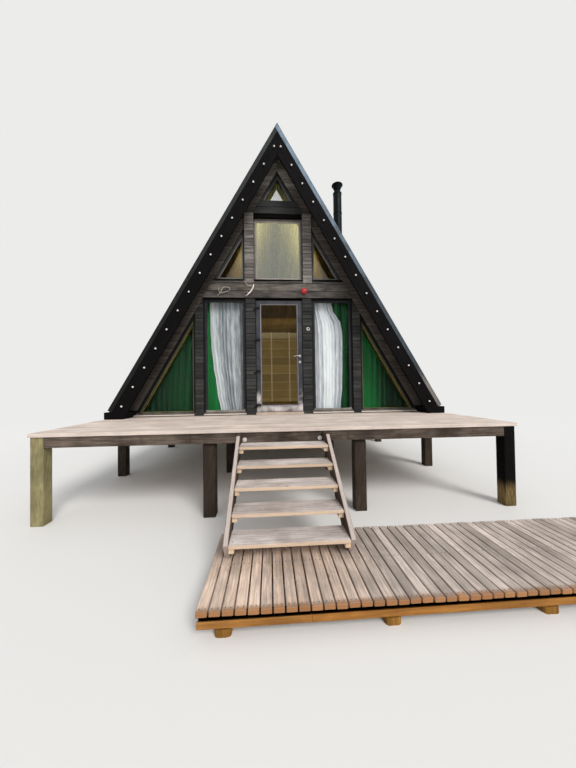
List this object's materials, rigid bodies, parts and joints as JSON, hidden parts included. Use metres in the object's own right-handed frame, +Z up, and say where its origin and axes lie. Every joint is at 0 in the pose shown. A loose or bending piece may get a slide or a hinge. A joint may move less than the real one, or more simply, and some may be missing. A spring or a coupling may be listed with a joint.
{
  "type": "a-frame cabin",
  "caption": "Steep triangular timber cabin on posts with a glazed front, hinged door, porch deck, open stair, plank walk and flue.",
  "frame": {"origin": "middle of the bounding box at the level of the lowest ground", "axes": "+X to the right as seen from the stair, +Y from the plank walk to the back wall, +Z up"},
  "size_m": [6.12, 9.19, 6.696],
  "materials": {
    "grey_post": "weathered timber, grey",
    "black_post": "black stained timber",
    "dark_timber": "dark rough timber",
    "deck_timber": "weathered grey larch boards",
    "floor_timber": "varnished pine boards",
    "black_stain": "near black stain, satin",
    "stair_timber": "weathered grey boards",
    "cleat_timber": "unpainted pine",
    "walk_timber": "weathered planks, warmer at the ends",
    "footing_timber": "rough timber blocks",
    "wall_cladding": "black brown stained horizontal boards",
    "beam_boards": "stained boards",
    "window_sill": "grey folded metal",
    "window_frame": "grey satin frames",
    "window_pane": "clear, mirror-like from outside",
    "threshold": "worn",
    "door_metal": "grey satin",
    "handle_metal": "satin",
    "hinge_metal": "grey satin",
    "roof_metal": "dark slate ribbed sheets",
    "trim_metal": "slate blue folded metal",
    "roof_core": "rafters and insulation as one body",
    "pine": "varnished pine boards",
    "flue_metal": "black heat-proof paint",
    "light_lens": "opal lens",
    "track": "white track",
    "white_net": "fine white net in hanging folds",
    "green_cloth": "emerald cloth in hanging folds"
  },
  "bodies": {
    "cabin": {"deck_post_left": "grey_post", "deck_post_right": "black_post", "foundation_posts": "dark_timber", "floor_bearers": "dark_timber", "deck_fascia": "deck_timber", "porch_deck": "deck_timber", "cabin_floor": "floor_timber", "eave_beams": "black_stain", "stair_stringers": "stair_timber", "stair_treads": "stair_timber", "stair_cleats": "cleat_timber", "boardwalk_planks": "walk_timber", "boardwalk_joists": "walk_timber", "boardwalk_footings": "footing_timber", "end_rafters": "wall_cladding", "front_lower_posts": "wall_cladding", "front_upper_posts": "wall_cladding", "mid_beams": "beam_boards", "front_collar": "beam_boards", "window_sills": "window_sill", "lower_window_frames": "window_frame", "lower_window_glass": "window_pane", "upper_window_frames": "window_frame", "upper_window_glass": "window_pane", "door_frame": "window_frame", "door_threshold": "threshold", "hinge_brackets": "hinge_metal", "roof_sheets": "roof_metal", "roof_boards": "black_stain", "roof_cores": "roof_core", "pine_linings": "pine", "ridge_cap": "trim_metal", "verge_flashings": "trim_metal", "bargeboards": "black_stain", "back_wall_lower": "wall_cladding", "back_wall_upper": "wall_cladding", "loft_floor": "floor_timber", "flue_pipe": "flue_metal", "flue_cap": "flue_metal", "flue_flashing": "flue_metal", "step_lights": "light_lens", "curtain_track": "track", "white_curtains": "white_net", "green_curtains": "green_cloth"},
    "door": {"door_leaf": "door_metal", "door_glass": "window_pane", "door_handles": "handle_metal", "door_hinge_leaves": "hinge_metal"}
  },
  "joints": [
    {"name": "door_hinge", "type": "hinge", "parent": "cabin", "child": "door", "pos_m": [-0.445, -1.047, 1.1], "axis": [0, 0, -1], "range_deg": [0, 105]}
  ]
}
